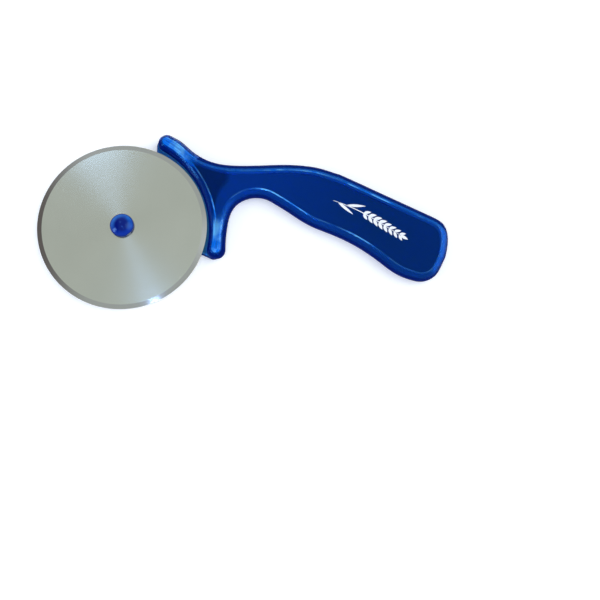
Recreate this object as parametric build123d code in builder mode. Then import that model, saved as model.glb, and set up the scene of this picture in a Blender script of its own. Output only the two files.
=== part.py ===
"""Pastry cutter wheel: a steel disc turning on a two-piece plastic rivet, carried by one moulded handle.

The tool lies on its back. Millimetres. The origin is where the blade's axis meets the rest plane,
+X runs from the blade to the butt of the grip, parallel to the neck's top edge, +Z is the blade's axis.
"""

import os
from math import cos, radians, sin

from build123d import *

# Handle: one solid moulding with full-round edges.
HANDLE_THICKNESS = 10.0
HANDLE_ROUNDING = 4.8
CARRIER_THICKNESS = 4.4
CARRIER_ROUNDING = 1.2
HUB_BOSS_RADIUS = 11.5

# Blade.
BLADE_RADIUS = 50.8
BLADE_THICKNESS = 1.2
BEVEL_WIDTH = 2.8
EDGE_LAND = 0.2
BLADE_BORE_RADIUS = 5.0

# Guard: a wall bowed round the blade's edge, with a round-ended prong at each end.
WALL_RADIUS = 58.2
WALL_OFFSET = 6.5
WALL_DIRECTION = 20.0
UPPER_PRONG_RADIUS = 5.25
UPPER_PRONG_ANGLE = 59.9
LOWER_PRONG_RADIUS = 5.6
LOWER_PRONG_ANGLE = -11.0

# Hub rivet, bush and washers.
BARREL_RADIUS = 4.0
BARREL_FLANGE_RADIUS = 6.5
BARREL_FLANGE_THICKNESS = 1.6
STEM_RADIUS = 2.6
STEM_CHAMFER = 0.5
STEM_END = 1.9
RUNNING_CLEARANCE = 0.08
AXIAL_CLEARANCE = 0.1
WASHER_BORE_CLEARANCE = 0.1
REAR_WASHER_RADIUS = 9.0
REAR_WASHER_THICKNESS = 0.5
BUSH_FLANGE_RADIUS = 6.2
BUSH_FLANGE_THICKNESS = 0.5
FRONT_WASHER_RADIUS = 6.4
FRONT_WASHER_THICKNESS = 0.4
BUTTON_RADIUS = 7.1
BUTTON_RIM_HEIGHT = 0.7
BUTTON_DOME_HEIGHT = 3.0
GATE_FLAT_DEPTH = 0.35
GATE_FLAT_ANGLE = -50.0

# Heights along the blade's axis, from the rest plane.
REAR_WASHER_Z = CARRIER_THICKNESS
BLADE_Z = REAR_WASHER_Z + REAR_WASHER_THICKNESS + AXIAL_CLEARANCE
BUSH_FLANGE_Z = BLADE_Z + BLADE_THICKNESS
FRONT_WASHER_Z = BUSH_FLANGE_Z + BUSH_FLANGE_THICKNESS + AXIAL_CLEARANCE
BUTTON_Z = FRONT_WASHER_Z + FRONT_WASHER_THICKNESS

WALL_CENTRE = Vector(-WALL_OFFSET * cos(radians(WALL_DIRECTION)), -WALL_OFFSET * sin(radians(WALL_DIRECTION)))


def polar(centre, radius, angle):
    """The point at an angle, in degrees, on a circle."""
    return centre + Vector(radius * cos(radians(angle)), radius * sin(radians(angle)))


UPPER_PRONG = polar(WALL_CENTRE, WALL_RADIUS + UPPER_PRONG_RADIUS, UPPER_PRONG_ANGLE)
LOWER_PRONG = polar(WALL_CENTRE, WALL_RADIUS + LOWER_PRONG_RADIUS, LOWER_PRONG_ANGLE)


def handle_outline():
    """The grip, neck and guard seen from the front: splines between tangent arcs and one straight."""
    back_angle = 62.0
    back_start = polar(UPPER_PRONG, UPPER_PRONG_RADIUS, back_angle)
    back_direction = (sin(radians(back_angle)), -cos(radians(back_angle)))
    straight_start, straight_end = Vector(139, 30.1), Vector(187.5, 7.2)
    slope = (straight_end - straight_start).normalized()
    back = Spline(
        back_start, (35, 53.2), (40, 48.7), (45, 44.8), (51, 41.6), (59, 39.3), (68, 38.5),
        (85, 38.8), (102, 39.2), (112, 38.5), (121, 36.8), (130, 33.9), straight_start,
        tangents=(back_direction, slope),
    )
    straight = Line(back @ 1, straight_end)
    heel = ThreePointArc((192.2, -26.6), (187.6, -31.7), (177, -33.4))
    Spline(
        straight @ 1, (195.6, 1.9), (198.1, -7), (196.4, -17.8), heel @ 0,
        tangents=(slope, heel % 0),
    )
    crest = ThreePointArc((90, 15.8), (80, 18.4), (70, 14.8))
    Spline(
        heel @ 1, (167, -29.8), (155, -21.2), (140, -11), (125, -3.9), (112, 1.7), (102, 8.1), crest @ 0,
        tangents=(heel % 1, crest % 0),
    )
    prong_side = LOWER_PRONG + Vector(LOWER_PRONG_RADIUS, 0)
    throat = Spline(
        crest @ 1, (64.7, 7), (62.8, -3), prong_side,
        tangents=(crest % 1, (0, -1)),
    )
    lower_tip = ThreePointArc(
        throat @ 1,
        polar(LOWER_PRONG, LOWER_PRONG_RADIUS, LOWER_PRONG_ANGLE - 90),
        polar(LOWER_PRONG, LOWER_PRONG_RADIUS, LOWER_PRONG_ANGLE + 180),
    )
    wall = ThreePointArc(
        lower_tip @ 1,
        polar(WALL_CENTRE, WALL_RADIUS, WALL_DIRECTION),
        polar(UPPER_PRONG, UPPER_PRONG_RADIUS, UPPER_PRONG_ANGLE + 180),
    )
    ThreePointArc(wall @ 1, polar(UPPER_PRONG, UPPER_PRONG_RADIUS, UPPER_PRONG_ANGLE + 90), back_start)


def carrier_outline():
    """The thin web behind the blade, from under both prongs to the hub boss."""
    inner_edge = Line((19.4, 50.5), (19.4, 44))
    hub_top = polar(Vector(0, 0), HUB_BOSS_RADIUS, 75)
    hub_foot = polar(Vector(0, 0), HUB_BOSS_RADIUS, 262)
    upper = Spline(
        inner_edge @ 1, (17.2, 27), (11.5, 14.6), hub_top,
        tangents=((0, -1), (-sin(radians(75)), cos(radians(75)))),
    )
    boss = ThreePointArc(upper @ 1, (-HUB_BOSS_RADIUS, 0), hub_foot)
    lower = Spline(
        boss @ 1, (28, -12.6), (44, -15.4), (52.6, -19.0),
        tangents=((-sin(radians(262)), cos(radians(262))), (0.906, -0.423)),
    )
    toe = ThreePointArc(lower @ 1, (55.6, -19.6), (58.2, -17.8))
    buried = Polyline(toe @ 1, (57.6, 16), (46, 37), (28.6, 54.8))
    ThreePointArc(buried @ 1, (22.6, 56.0), inner_edge @ 0)


def washer(radius, bore, thickness, z):
    """A flat ring on the blade's axis, standing on height z."""
    with BuildPart() as ring:
        with BuildSketch(Plane.XY.offset(z)):
            Circle(radius)
            Circle(bore, mode=Mode.SUBTRACT)
        extrude(amount=thickness)
    return ring


def save(piece, label):
    """Labels a finished piece and writes its STEP file."""
    piece.part.label = label
    export_step(piece.part, f"parts/{label}.step")


os.makedirs("parts", exist_ok=True)

# The thin web that carries the hub, rounded all round.
with BuildPart() as carrier:
    with BuildSketch():
        with BuildLine():
            carrier_outline()
        make_face()
    extrude(amount=CARRIER_THICKNESS)
    fillet(carrier.faces().filter_by(Axis.Z).edges(), CARRIER_ROUNDING)

# The whole moulding: rounded slab, web, and the hub's stepped bore.
with BuildPart() as handle_body:
    with BuildSketch():
        with BuildLine():
            handle_outline()
        make_face()
    extrude(amount=HANDLE_THICKNESS)
    fillet(handle_body.faces().filter_by(Axis.Z).edges(), HANDLE_ROUNDING)
    add(carrier.part)
    with Locations(Plane.XY.rotated((180, 0, 0))):
        CounterBoreHole(BARREL_RADIUS, BARREL_FLANGE_RADIUS, BARREL_FLANGE_THICKNESS, CARRIER_THICKNESS)
save(handle_body, "handle_body")

# Disc with both faces ground to a thin edge.
bevel_depth = (BLADE_THICKNESS - EDGE_LAND) / 2
with BuildPart() as cutting_blade:
    with BuildSketch(Plane.XZ) as section:
        with BuildLine():
            Polyline(
                (BLADE_BORE_RADIUS, BLADE_Z),
                (BLADE_RADIUS - BEVEL_WIDTH, BLADE_Z),
                (BLADE_RADIUS, BLADE_Z + bevel_depth),
                (BLADE_RADIUS, BLADE_Z + bevel_depth + EDGE_LAND),
                (BLADE_RADIUS - BEVEL_WIDTH, BLADE_Z + BLADE_THICKNESS),
                (BLADE_BORE_RADIUS, BLADE_Z + BLADE_THICKNESS),
                close=True,
            )
        make_face()
    revolve(axis=Axis.Z)
save(cutting_blade, "cutting_blade")

# Flanged nylon bush pressed into the blade; it turns on the rivet's barrel.
with BuildPart() as blade_bush:
    with BuildSketch(Plane.XY.offset(BLADE_Z)):
        Circle(BLADE_BORE_RADIUS)
    extrude(amount=BLADE_THICKNESS)
    with BuildSketch(Plane.XY.offset(BUSH_FLANGE_Z)):
        Circle(BUSH_FLANGE_RADIUS)
    extrude(amount=BUSH_FLANGE_THICKNESS)
    with Locations((0, 0, BLADE_Z)):
        Hole(BARREL_RADIUS + RUNNING_CLEARANCE)
save(blade_bush, "blade_bush")

# Rear half of the rivet: a flush flange and the blind barrel that the bush runs on.
with BuildPart() as hub_barrel:
    Cylinder(
        BARREL_FLANGE_RADIUS, BARREL_FLANGE_THICKNESS, align=(Align.CENTER, Align.CENTER, Align.MIN)
    )
    Cylinder(BARREL_RADIUS, BUTTON_Z, align=(Align.CENTER, Align.CENTER, Align.MIN))
    with BuildSketch(Plane.XY.offset(STEM_END)):
        Circle(STEM_RADIUS)
    extrude(amount=BUTTON_Z - STEM_END, mode=Mode.SUBTRACT)
save(hub_barrel, "hub_barrel")

# Front half of the rivet: domed head and the stem pressed into the barrel, with a flat where the gate was cut.
dome_radius = (BUTTON_RADIUS**2 + BUTTON_DOME_HEIGHT**2) / (2 * BUTTON_DOME_HEIGHT)
dome_base = BUTTON_Z + BUTTON_RIM_HEIGHT
with BuildPart() as hub_button:
    with BuildSketch(Plane.XZ):
        with BuildLine():
            stem = Polyline(
                (0, STEM_END + STEM_CHAMFER),
                (STEM_RADIUS - STEM_CHAMFER, STEM_END + STEM_CHAMFER),
                (STEM_RADIUS, STEM_END + 2 * STEM_CHAMFER),
                (STEM_RADIUS, BUTTON_Z),
                (BUTTON_RADIUS, BUTTON_Z),
                (BUTTON_RADIUS, dome_base),
            )
            dome = RadiusArc(stem @ 1, (0, dome_base + BUTTON_DOME_HEIGHT), -dome_radius)
            Line(dome @ 1, stem @ 0)
        make_face()
    revolve(axis=Axis.Z)
    with Locations(
        Location(
            polar(Vector(0, 0, BUTTON_Z), BUTTON_RADIUS - GATE_FLAT_DEPTH, GATE_FLAT_ANGLE),
            (0, 0, GATE_FLAT_ANGLE),
        )
    ):
        Box(2, 8, 2 * BUTTON_RIM_HEIGHT + 1, align=(Align.MIN, Align.CENTER, Align.CENTER), mode=Mode.SUBTRACT)
save(hub_button, "hub_button")

rear_washer = washer(
    REAR_WASHER_RADIUS, BARREL_RADIUS + WASHER_BORE_CLEARANCE, REAR_WASHER_THICKNESS, REAR_WASHER_Z
)
save(rear_washer, "rear_washer")

front_washer = washer(
    FRONT_WASHER_RADIUS, BARREL_RADIUS + WASHER_BORE_CLEARANCE, FRONT_WASHER_THICKNESS, FRONT_WASHER_Z
)
save(front_washer, "front_washer")
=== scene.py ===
"""Looks for the pastry cutter wheel: clear blue handle, turned steel blade, nylon hub and white print."""

import math

import bmesh
import bpy
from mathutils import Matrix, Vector


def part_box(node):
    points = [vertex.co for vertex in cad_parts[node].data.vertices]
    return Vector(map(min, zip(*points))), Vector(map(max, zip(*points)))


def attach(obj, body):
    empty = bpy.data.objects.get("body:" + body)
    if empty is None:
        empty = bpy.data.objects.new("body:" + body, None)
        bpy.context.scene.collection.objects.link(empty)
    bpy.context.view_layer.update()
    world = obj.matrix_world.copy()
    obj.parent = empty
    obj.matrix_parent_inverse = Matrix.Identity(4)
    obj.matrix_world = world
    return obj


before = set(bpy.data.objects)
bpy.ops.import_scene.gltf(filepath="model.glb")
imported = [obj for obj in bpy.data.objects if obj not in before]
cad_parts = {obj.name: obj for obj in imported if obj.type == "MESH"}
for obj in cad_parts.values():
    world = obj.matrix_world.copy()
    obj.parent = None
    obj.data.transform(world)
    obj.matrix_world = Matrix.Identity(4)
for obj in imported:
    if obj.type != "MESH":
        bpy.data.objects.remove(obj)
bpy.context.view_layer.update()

MM = 0.001

# Blade.
BLADE_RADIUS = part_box("cutting_blade")[1].x
BEVEL_WIDTH = 2.8 * MM
BEVEL_BLUR = 0.1 * MM

# Button: where the painted shade over the stem fades and where the painted darker edge sets in, as radii, and
# where the painted lighter side begins and ends along Y.
STEM_SHADE = (3.2 * MM, 5.6 * MM)
BUTTON_EDGE = (6.2 * MM, 6.9 * MM)
PAINTED_LIGHT_SIDE = (-5 * MM, 5 * MM)

# Handle: the open finger notch, and the middle of the thick web where the neck meets the guard.
HANDLE_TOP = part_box("handle_body")[1].z
HANDLE_MIDDLE = HANDLE_TOP / 2
NOTCH_CENTRE = (80.5 * MM, 10.9 * MM, 0)
NOTCH_REACH = 24.8 * MM
GUARD_CENTRE = (55.0 * MM, 24.0 * MM, 0)

# Where one look of the plastic turns into the next, as a start and an end.
WALL_ZONE = (BLADE_RADIUS, BLADE_RADIUS + 1.5 * MM)
THICK_ZONE = (2 * MM, 4 * MM)
NECK_ZONE = (61 * MM, 66 * MM)
GRIP_ZONE = (65 * MM, 165 * MM)
PRONG_ZONE = (16 * MM, 27 * MM)
NOTCH_ZONE = (NOTCH_REACH - 0.7 * MM, NOTCH_REACH + 0.9 * MM)
LEVEL_ZONE = (0.980, 0.9995)

# Print on the grip. Grains and leaves are a length, a width and, for a leaf, the steps in its outline;
# places along the stem are shares of its length.
PRINT_CENTRE = Vector((149.8 * MM, 4.0 * MM, 0))
PRINT_TURN = math.radians(-26)
PRINT_LENGTH = 50 * MM
PRINT_ARCH = 1.6 * MM
STEM_WIDTH = 0.55 * MM
STEM_STEPS = 24
STEM_END = 0.92
GRAIN_PAIRS = 8
GRAIN_SPAN = (0.4, 0.9)
GRAIN_LENGTH = 5.0 * MM
GRAIN_WIDTH = 2.0 * MM
GRAIN_SPREAD = math.radians(33)
GRAIN_GAP = 0.35 * MM
TIP_GRAIN = (5.2 * MM, 1.9 * MM)
LEAF = (12 * MM, 1.7 * MM, 14)
LEAVES = ((0.06, -1), (0.17, 1))
LEAF_SPREAD = math.radians(20)
INK_LIFT = 0.01 * MM
INK_THICKNESS = 0.04 * MM

# Camera and floor, measured from the blade's axis.
CAMERA_PLACE = (85.0 * MM, -124.6 * MM, 479.0 * MM)
CAMERA_TILT = (0.1661, -0.0458, 0)
CAMERA_LENS = 48
SENSOR_WIDTH = 36
NEAREST_SEEN = 10 * MM
EXPOSURE = 0.25
FLOOR_GAP = 0.1 * MM
FLOOR_SIZE = 6.0

# Lamps: name, place, the point it faces, sides, watts and colour.
DAYLIGHT = (0.38, 0.58, 1.0)
PALE_DAYLIGHT = (0.48, 0.66, 1.0)
LAMPS = (
    ("lens_lamp", (0.033, -0.140, 0.479), (0.03, -0.02, 0), (0.012, 0.012), 0.38, DAYLIGHT),
    ("high_lamp", (-0.06, -0.09, 1.5), (0.05, 0, 0), (0.12, 0.12), 0.75, DAYLIGHT),
    ("back_lamp", (-0.26, 0.52, 0.92), (0, 0, 0), (0.18, 0.18), 0.24, PALE_DAYLIGHT),
    ("left_window", (-0.95, -0.35, 0.55), (0.05, 0, 0), (0.35, 0.6), 3.0, (1, 1, 1)),
)

# Blue plastic.
PLASTIC_IOR = 1.49
CLEAR = (1.0, 1.0, 1.0, 1)
# Painted shade: darker tints laid on the thick flat faces, for the neck and grip, for the butt and for the
# dark triangle on the guard.
PAINTED_SHADE_NECK_AND_GRIP = (0.36, 0.43, 0.53, 1)
PAINTED_SHADE_BUTT = (0.34, 0.29, 0.37, 1)
PAINTED_SHADE_TRIANGLE = (0.12, 0.12, 0.26, 1)
# Painted shade, a teal one, on the level web under the blade.
PAINTED_SHADE_WEB = (0.28, 0.46, 0.44, 1)
# Painted highlight along the ridge where a rounded edge meets a flat face, with brighter painted glints.
PAINTED_RIDGE_HIGHLIGHT = (0.0, 0.16, 0.78, 1)
PAINTED_RIDGE_GLINT = (0.12, 0.52, 1.0, 1)
# Painted shade for the dark line along the rim.
PAINTED_RIM_SHADE = (0.0, 0.006, 0.11, 1)


class Value:
    """A node's output that takes part in plain arithmetic; each step adds a Math node."""

    def __init__(self, recipe, socket):
        self.recipe = recipe
        self.socket = socket

    def math(self, operation, *terms):
        """A Math node on the given terms, or on this value alone."""
        return self.recipe.node("ShaderNodeMath", {"operation": operation}, dict(enumerate(terms or (self,))))

    def __add__(self, other):
        return self.math("ADD", self, other)

    def __sub__(self, other):
        return self.math("SUBTRACT", self, other)

    def __rsub__(self, other):
        return self.math("SUBTRACT", other, self)

    def __mul__(self, other):
        return self.math("MULTIPLY", self, other)

    __radd__ = __add__
    __rmul__ = __mul__


class Recipe:
    """The nodes of one material or of the world."""

    def __init__(self, tree):
        self.tree = tree
        self.tree.nodes.clear()

    def node(self, kind, settings=None, sockets=None, output=0):
        """Adds a node: its settings first, then its sockets' values or links. Gives the chosen output."""
        made = self.tree.nodes.new(kind)
        for name, setting in (settings or {}).items():
            setattr(made, name, setting)
        for key, given in (sockets or {}).items():
            if isinstance(given, Value):
                self.tree.links.new(given.socket, made.inputs[key])
            else:
                made.inputs[key].default_value = given
        return Value(self, made.outputs[output]) if made.outputs else None

    def place(self):
        """Where a point is on the object, in metres."""
        return self.node("ShaderNodeTexCoord", output=3)

    def stretched(self, scale, turn):
        """The object's coordinates, scaled along each axis and turned about Z."""
        sockets = {0: self.place(), "Scale": scale, "Rotation": (0, 0, turn)}
        return self.node("ShaderNodeMapping", None, sockets)

    def coordinate(self, vector, axis):
        """One coordinate of a vector: axis 0, 1 or 2 for X, Y or Z."""
        return self.node("ShaderNodeSeparateXYZ", None, {0: vector}, output=axis)

    def on_vectors(self, operation, *terms, output=0):
        return self.node("ShaderNodeVectorMath", {"operation": operation}, dict(enumerate(terms)), output)

    def distance_from(self, centre=(0, 0, 0)):
        """Distance in plan from an upright line; from the blade's axis if no centre is given."""
        flat = self.on_vectors("MULTIPLY", self.on_vectors("SUBTRACT", self.place(), centre), (1, 1, 0))
        return self.on_vectors("LENGTH", flat, output=1)

    def noise(self, where, scale, detail, roughness):
        return self.node(
            "ShaderNodeTexNoise", None,
            {"Vector": where, "Scale": scale, "Detail": detail, "Roughness": roughness},
        )

    def between(self, value, low, high):
        """0 up to low, 1 from high on, and smooth between."""
        return self.node(
            "ShaderNodeMapRange", {"interpolation_type": "SMOOTHSTEP"},
            {"Value": value, "From Min": low, "From Max": high},
        )

    def larger(self, first, second):
        return first.math("MAXIMUM", first, second)

    def blend(self, share, first, second):
        """A mix of two colours."""
        return self.node("ShaderNodeMix", {"data_type": "RGBA"}, {0: share, 6: first, 7: second}, output=2)

    def bump(self, height, distance, strength):
        sockets = {"Strength": strength, "Distance": distance, "Height": height}
        return self.node("ShaderNodeBump", None, sockets)

    def principled(self, sockets):
        return self.node("ShaderNodeBsdfPrincipled", None, sockets)

    def mix_shaders(self, share, first, second):
        return self.node("ShaderNodeMixShader", None, {0: share, 1: first, 2: second})

    def finish(self, sockets, kind="ShaderNodeOutputMaterial"):
        """Joins the finished shader to the output."""
        self.node(kind, None, sockets)


def material(name, build):
    """A material made by one of the recipes below."""
    made = bpy.data.materials.new(name)
    made.use_nodes = True
    build(Recipe(made.node_tree))
    return made


def blue_plastic(r):
    """Clear moulded plastic, dyed through.

    A painted highlight runs where a rounded edge meets a flat face, painted light fills the prongs, painted
    shade darkens the flat faces and the web under the blade, and a painted dark line runs round the rim.
    """
    normal = r.node("ShaderNodeNewGeometry", output=1)
    level = r.coordinate(normal, 2).math("ABSOLUTE")
    back_edge = r.between(r.coordinate(normal, 1), 0.05, 0.25)
    along = r.coordinate(r.place(), 0)
    height = r.coordinate(r.place(), 2)
    patches = r.noise(r.stretched((1, 1, 0), 0.45), 26, 2, 0.5)
    # Streaks where the painted highlight turns into painted glints.
    glint_streaks = r.between(r.noise(r.place(), 150, 2, 0.5), 0.38, 0.68)
    handling = r.noise(r.place(), 55, 4, 0.6)
    rubs = r.noise(r.stretched((900, 120, 120), 0.4), 1.0, 3, 0.6)
    ripple = r.noise(r.place(), 38, 1, 0.4)

    # Zones of the moulding.
    beyond_blade = r.between(r.distance_from(), *WALL_ZONE)
    thick = r.between((height - HANDLE_MIDDLE).math("ABSOLUTE"), *THICK_ZONE) * beyond_blade
    past_guard = r.between(along, *NECK_ZONE)
    neck = r.larger(past_guard, 1 - r.between(r.distance_from(NOTCH_CENTRE), *NOTCH_ZONE))
    butt = r.between(along, *GRIP_ZONE)
    prongs = r.between(r.distance_from(GUARD_CENTRE), *PRONG_ZONE) * (1 - past_guard) * thick

    # Bands that follow the surface's slope: 1 is level, 0 is upright.
    flat = r.between(level, *LEVEL_ZONE) * thick
    # ridge: the band that carries the painted highlight line.
    ridge = r.between(level, 0.982, 0.992) * (1 - r.between(level, 0.9990, 0.99995)) * thick
    # core: painted light in the middle of the prongs.
    core = r.between(level, 0.88, 0.94) * (1 - 0.35 * r.between(level, 0.97, 0.995)) * prongs
    # rim: where the painted dark line runs along the edge, wider on edges facing +Y and in the prongs.
    rim = 1 - r.between(level, 0.50 + 0.20 * prongs + 0.40 * back_edge, 0.93 + 0.045 * back_edge)
    # web: level faces under the blade and near mid-height, which take painted shade.
    web = r.between(level, *LEVEL_ZONE) * (1 - thick)

    # Painted shade on the thick flat faces: darkest in the guard's triangle beyond the notch, with other
    # tints for the neck and grip and for the butt. The prongs stay clear.
    painted_shade = r.blend(neck, PAINTED_SHADE_TRIANGLE, r.blend(butt, PAINTED_SHADE_NECK_AND_GRIP, PAINTED_SHADE_BUTT))
    tint = r.blend(flat, CLEAR, r.blend(prongs, painted_shade, CLEAR))
    body = r.principled(
        {
            "Base Color": r.blend(web, tint, PAINTED_SHADE_WEB),
            "Transmission Weight": 1.0,
            "IOR": PLASTIC_IOR,
            "Specular Tint": (0.05, 0.40, 1.0, 1.0),
            "Roughness": 0.03 + 0.05 * r.between(handling, 0.45, 0.8) + 0.03 * r.between(rubs, 0.6, 0.8),
            "Normal": r.bump(ripple, 0.08 * MM, 0.4),
        }
    )
    # Painted highlight: a bright blue shader for the ridge line and the prongs' middles, with painted glints
    # and a coat in the streaks.
    bright = r.principled(
        {
            "Base Color": r.blend(glint_streaks, PAINTED_RIDGE_HIGHLIGHT, PAINTED_RIDGE_GLINT),
            "Roughness": 0.12,
            "Specular Tint": (0.3, 0.6, 1.0, 1.0),
            "Coat Weight": glint_streaks,
            "Coat Roughness": 0.06,
            "Coat IOR": 1.6,
        }
    )
    # Painted shade: a dark shader without reflection for the line along the rim.
    dark = r.principled({"Base Color": PAINTED_RIM_SHADE, "Roughness": 0.5, "Specular IOR Level": 0.0})
    # Where the painted highlight is laid: along the ridge in patches, and in the prongs' middles.
    painted_highlight = r.larger(ridge * (0.15 + 0.75 * r.between(patches, 0.42, 0.60)), 0.8 * core)
    dye = r.node("ShaderNodeVolumeAbsorption", None, {"Color": (0.0, 0.63, 0.965, 1.0), "Density": 480.0})
    lit = r.mix_shaders(painted_highlight, body, bright)
    r.finish({"Surface": r.mix_shaders(0.9 * rim, lit, dark), "Volume": dye})


def button_plastic(r):
    """The same plastic's blue in the domed button, with painted shade over the stem and at the edge, and a
    painted lighter ring towards +Y.
    """
    radius = r.distance_from()
    # Painted shade over the stem, and a painted darker edge.
    core = 1 - r.between(radius, *STEM_SHADE)
    rim = r.between(radius, *BUTTON_EDGE)
    patches = r.noise(r.place(), 170, 2, 0.5)
    # Painted light: the ring is lighter towards +Y, in patches.
    painted_light_side = r.between(r.coordinate(r.place(), 1), *PAINTED_LIGHT_SIDE)
    ring = r.blend(painted_light_side * r.between(patches, 0.2, 0.6), (0.0, 0.018, 0.28, 1), (0.002, 0.12, 0.50, 1))
    head = r.blend(core, ring, (0.001, 0.006, 0.15, 1))
    surface = r.principled(
        {
            "Base Color": r.blend(rim, head, (0.0, 0.012, 0.16, 1)),
            "IOR": PLASTIC_IOR,
            "Specular Tint": (0.25, 0.55, 1.0, 1.0),
            "Roughness": 0.035 + 0.03 * patches,
            "Normal": r.bump(patches, 0.06 * MM, 0.4),
        }
    )
    r.finish({"Surface": surface})


def turned_steel(r):
    """Stainless sheet turned in fine rings, with a smoother ground rim, small nicks and faint stains.

    The sheen spreads across the rings, which run round the blade's axis as a surface's own tangent does.
    """
    radius = r.distance_from()
    outward = r.node("ShaderNodeCombineXYZ", None, {0: radius})
    rings = r.noise(outward, 5200, 3, 0.7)
    broad_rings = r.noise(outward, 420, 2, 0.5)
    bevel_start = BLADE_RADIUS - BEVEL_WIDTH
    rim = r.between(radius, bevel_start - BEVEL_BLUR, bevel_start + BEVEL_BLUR)
    stains = r.noise(r.place(), 45, 3, 0.55)
    nicks = r.between(r.noise(r.place(), 900, 2, 0.5), 0.72, 0.8)
    scratches = r.between(r.noise(r.stretched((420, 90, 1), 0.5), 1.0, 1, 0.4), 0.80, 0.84)
    grey = r.blend(stains, (0.60, 0.625, 0.58, 1), (0.66, 0.685, 0.64, 1))
    face = r.principled(
        {
            "Base Color": r.blend(scratches, grey, (0.95, 0.97, 0.96, 1)),
            "Metallic": 1.0,
            "Roughness": 0.14 + 0.04 * rings + 0.04 * broad_rings,
            "Anisotropic": 0.65,
            "Anisotropic Rotation": 0.25,
            "Normal": r.bump(rings + 0.3 * nicks, 0.001 * MM, 0.08),
        }
    )
    # The rim's grey is darker than the face's: partly its smoother ground finish, partly painted shade that
    # dims its reflection.
    ground = r.principled(
        {
            "Base Color": r.blend(stains, (0.50, 0.52, 0.53, 1), (0.56, 0.57, 0.58, 1)),
            "Metallic": 1.0,
            "Roughness": 0.05 + 0.03 * rings,
            "Normal": r.bump(rings, 0.001 * MM, 0.4),
        }
    )
    r.finish({"Surface": r.mix_shaders(rim, face, ground)})


def nylon(r):
    """Natural nylon: milky, a little waxy, with a fine moulded grain."""
    grain = r.noise(r.place(), 2600, 2, 0.5)
    cloud = r.noise(r.place(), 240, 3, 0.5)
    surface = r.principled(
        {
            "Base Color": r.blend(cloud, (0.74, 0.73, 0.68, 1), (0.84, 0.83, 0.79, 1)),
            "Roughness": 0.38 + 0.14 * cloud,
            "Subsurface Weight": 0.2,
            "Subsurface Scale": 0.6 * MM,
            "Normal": r.bump(grain, 0.01 * MM, 0.5),
        }
    )
    r.finish({"Surface": surface})


def white_ink(r):
    """Screen-printed ink: opaque white, with the mesh's faint mottle."""
    mottle = r.noise(r.place(), 1800, 3, 0.6)
    surface = r.principled(
        {
            "Base Color": r.blend(mottle, (0.80, 0.82, 0.86, 1), (0.93, 0.94, 0.96, 1)),
            "Roughness": 0.4 + 0.2 * mottle,
            "Normal": r.bump(mottle, 0.01 * MM, 0.6),
        }
    )
    r.finish({"Surface": surface})


def pale_floor(r):
    """Plain matt paper that glows a little, as if lit from below."""
    fibres = r.noise(r.place(), 700, 3, 0.6)
    surface = r.principled(
        {
            "Base Color": r.blend(fibres, (0.90, 0.90, 0.90, 1), (0.92, 0.92, 0.92, 1)),
            "Roughness": 0.9,
            "Specular IOR Level": 0.1,
            "Emission Color": (1.0, 1.0, 1.0, 1),
            "Emission Strength": 0.2,
        }
    )
    r.finish({"Surface": surface})


def surroundings(r):
    """Light from all round: pale walls, a greyer ceiling, bright to the right and dark to the left."""
    direction = r.node("ShaderNodeTexCoord", output=0)
    height = r.coordinate(direction, 2)
    left = 0 - r.coordinate(direction, 0)
    walls = r.blend(r.between(height, 0.15, 0.55), (0.80, 0.81, 0.83, 1), (0.62, 0.63, 0.65, 1))
    ceiling = r.blend(r.between(height, 0.6, 0.8), walls, (0.48, 0.505, 0.47, 1))
    towards = r.on_vectors("DOT_PRODUCT", direction, (0.70, 0.07, 0.71), output=1)
    bright_side = r.blend(r.between(towards, 0.84, 1.0), ceiling, (2.4, 2.45, 2.5, 1))
    dark_side = r.between(left, 0.3, 0.6) * r.between(height, 0.4, 0.6)
    colour = r.blend(dark_side, bright_side, (0.15, 0.13, 0.12, 1))
    light = r.node("ShaderNodeBackground", None, {"Color": colour, "Strength": 1.0})
    r.finish({"Surface": light}, "ShaderNodeOutputWorld")


def dress(name, look):
    """Gives a CAD node its finished material."""
    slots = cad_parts[name].data.materials
    slots.clear()
    slots.append(look)


def grain(length, width, steps=9):
    """Outline of one grain or leaf: it starts at the origin and points along +X."""
    upper = []
    for i in range(steps + 1):
        along = i / steps
        upper.append(Vector((length * along, width * 0.5 * math.sin(math.pi * along**0.8) ** 0.9, 0)))
    return upper + [Vector((p.x, -p.y, 0)) for p in reversed(upper[1:-1])]


def stroke(points, width):
    """Outline of a line that narrows towards its ends."""
    left, right = [], []
    for i, point in enumerate(points):
        before = points[max(i - 1, 0)]
        after = points[min(i + 1, len(points) - 1)]
        side = (after - before).normalized().cross(Vector((0, 0, 1)))
        half = 0.5 * width * (0.35 + 0.65 * math.sin(math.pi * (i + 0.5) / len(points)))
        left.append(point + side * half)
        right.append(point - side * half)
    return left + right[::-1]


def turned(outline, angle, at):
    """An outline turned about Z and moved."""
    c, s = math.cos(angle), math.sin(angle)
    return [Vector((p.x * c - p.y * s, p.x * s + p.y * c, 0)) + at for p in outline]


def stem_point(share):
    """A point on the sprig's arched stem; share runs from 0 at the foot to 1."""
    return Vector(((share - 0.5) * PRINT_LENGTH, PRINT_ARCH * math.sin(math.pi * share * 1.2 + 0.4), 0))


def stem_heading(share):
    """The stem's direction there, as an angle."""
    ahead = stem_point(share + 0.01) - stem_point(share - 0.01)
    return math.atan2(ahead.y, ahead.x)


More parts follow.
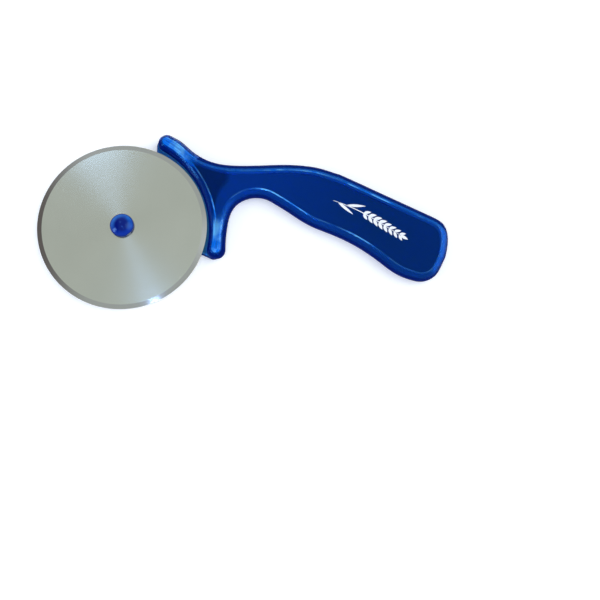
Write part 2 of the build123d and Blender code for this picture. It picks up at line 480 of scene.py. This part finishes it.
def sprig_outlines():
    """The stem, paired grains that are largest near the middle, one at the tip, and two leaves."""
    outlines = [stroke([stem_point(STEM_END * i / STEM_STEPS) for i in range(STEM_STEPS + 1)], STEM_WIDTH)]
    first, last = GRAIN_SPAN
    for i in range(GRAIN_PAIRS):
        share = first + (last - first) * i / (GRAIN_PAIRS - 1)
        size = 1 - 0.3 * abs(i / (GRAIN_PAIRS - 1) - 0.35)
        for side in (1, -1):
            angle = stem_heading(share) + side * GRAIN_SPREAD
            foot = stem_point(share) + Vector((0, side * GRAIN_GAP, 0))
            outlines.append(turned(grain(GRAIN_LENGTH * size, GRAIN_WIDTH * size), angle, foot))
    outlines.append(turned(grain(*TIP_GRAIN), stem_heading(STEM_END), stem_point(STEM_END)))
    for share, side in LEAVES:
        angle = stem_heading(share) + side * LEAF_SPREAD
        outlines.append(turned(grain(*LEAF), angle, stem_point(share)))
    return outlines


def printed_sprig():
    """An ear of wheat lying along the grip, as a thin layer of ink."""
    form = bmesh.new()
    for outline in sprig_outlines():
        form.faces.new([form.verts.new(p) for p in outline])
    form.normal_update()
    for face in form.faces:
        if face.normal.z < 0:
            face.normal_flip()
    lifted = bmesh.ops.extrude_face_region(form, geom=list(form.faces))
    tops = [v for v in lifted["geom"] if isinstance(v, bmesh.types.BMVert)]
    bmesh.ops.translate(form, verts=tops, vec=(0, 0, INK_THICKNESS))
    bmesh.ops.recalc_face_normals(form, faces=list(form.faces))
    mesh = bpy.data.meshes.new("printed_sprig")
    form.to_mesh(mesh)
    form.free()
    c, s = math.cos(PRINT_TURN), math.sin(PRINT_TURN)
    for v in mesh.vertices:
        x, y, z = v.co
        v.co = PRINT_CENTRE + Vector((x * c - y * s, x * s + y * c, HANDLE_TOP + INK_LIFT + z))
    mesh.materials.append(material("white_ink", white_ink))
    piece = bpy.data.objects.new("printed_sprig", mesh)
    bpy.context.scene.collection.objects.link(piece)
    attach(piece, "handle")


def softbox(name, place, aim, size, power, colour):
    """A rectangular lamp that faces a point on the floor."""
    lamp = bpy.data.lights.new(name, "AREA")
    lamp.shape = "RECTANGLE"
    lamp.size, lamp.size_y = size
    lamp.energy = power
    lamp.color = colour
    holder = bpy.data.objects.new(name, lamp)
    holder.location = place
    holder.rotation_euler = (Vector(aim) - Vector(place)).to_track_quat("-Z", "Y").to_euler()
    bpy.context.scene.collection.objects.link(holder)


def floor():
    """A broad level sheet just under the object."""
    mesh = bpy.data.meshes.new("floor")
    half = FLOOR_SIZE / 2
    corners = [(x, y, -FLOOR_GAP) for x, y in ((-half, -half), (half, -half), (half, half), (-half, half))]
    mesh.from_pydata(corners, [], [(0, 1, 2, 3)])
    mesh.materials.append(material("pale_floor", pale_floor))
    sheet = bpy.data.objects.new("floor", mesh)
    bpy.context.scene.collection.objects.link(sheet)


def camera():
    """The camera, above the tool and a little towards the notch side."""
    scene = bpy.context.scene
    lens = bpy.data.cameras.new("camera")
    lens.lens = CAMERA_LENS
    lens.sensor_width = SENSOR_WIDTH
    lens.clip_start = NEAREST_SEEN
    holder = bpy.data.objects.new("camera", lens)
    holder.location = CAMERA_PLACE
    holder.rotation_mode = "YXZ"
    holder.rotation_euler = CAMERA_TILT
    scene.collection.objects.link(holder)
    scene.camera = holder


def studio():
    """Floor, lamps, surrounding light and camera."""
    scene = bpy.context.scene
    floor()
    for lamp in LAMPS:
        softbox(*lamp)
    scene.world = bpy.data.worlds.new("studio")
    scene.world.use_nodes = True
    surroundings(Recipe(scene.world.node_tree))
    camera()
    scene.view_settings.view_transform = "Standard"
    scene.view_settings.exposure = EXPOSURE


plastic = material("blue_plastic", blue_plastic)
natural_nylon = material("natural_nylon", nylon)
for node in ("handle_body", "hub_barrel"):
    dress(node, plastic)
dress("hub_button", material("button_plastic", button_plastic))
dress("cutting_blade", material("turned_steel", turned_steel))
for node in ("blade_bush", "rear_washer", "front_washer"):
    dress(node, natural_nylon)
printed_sprig()
studio()
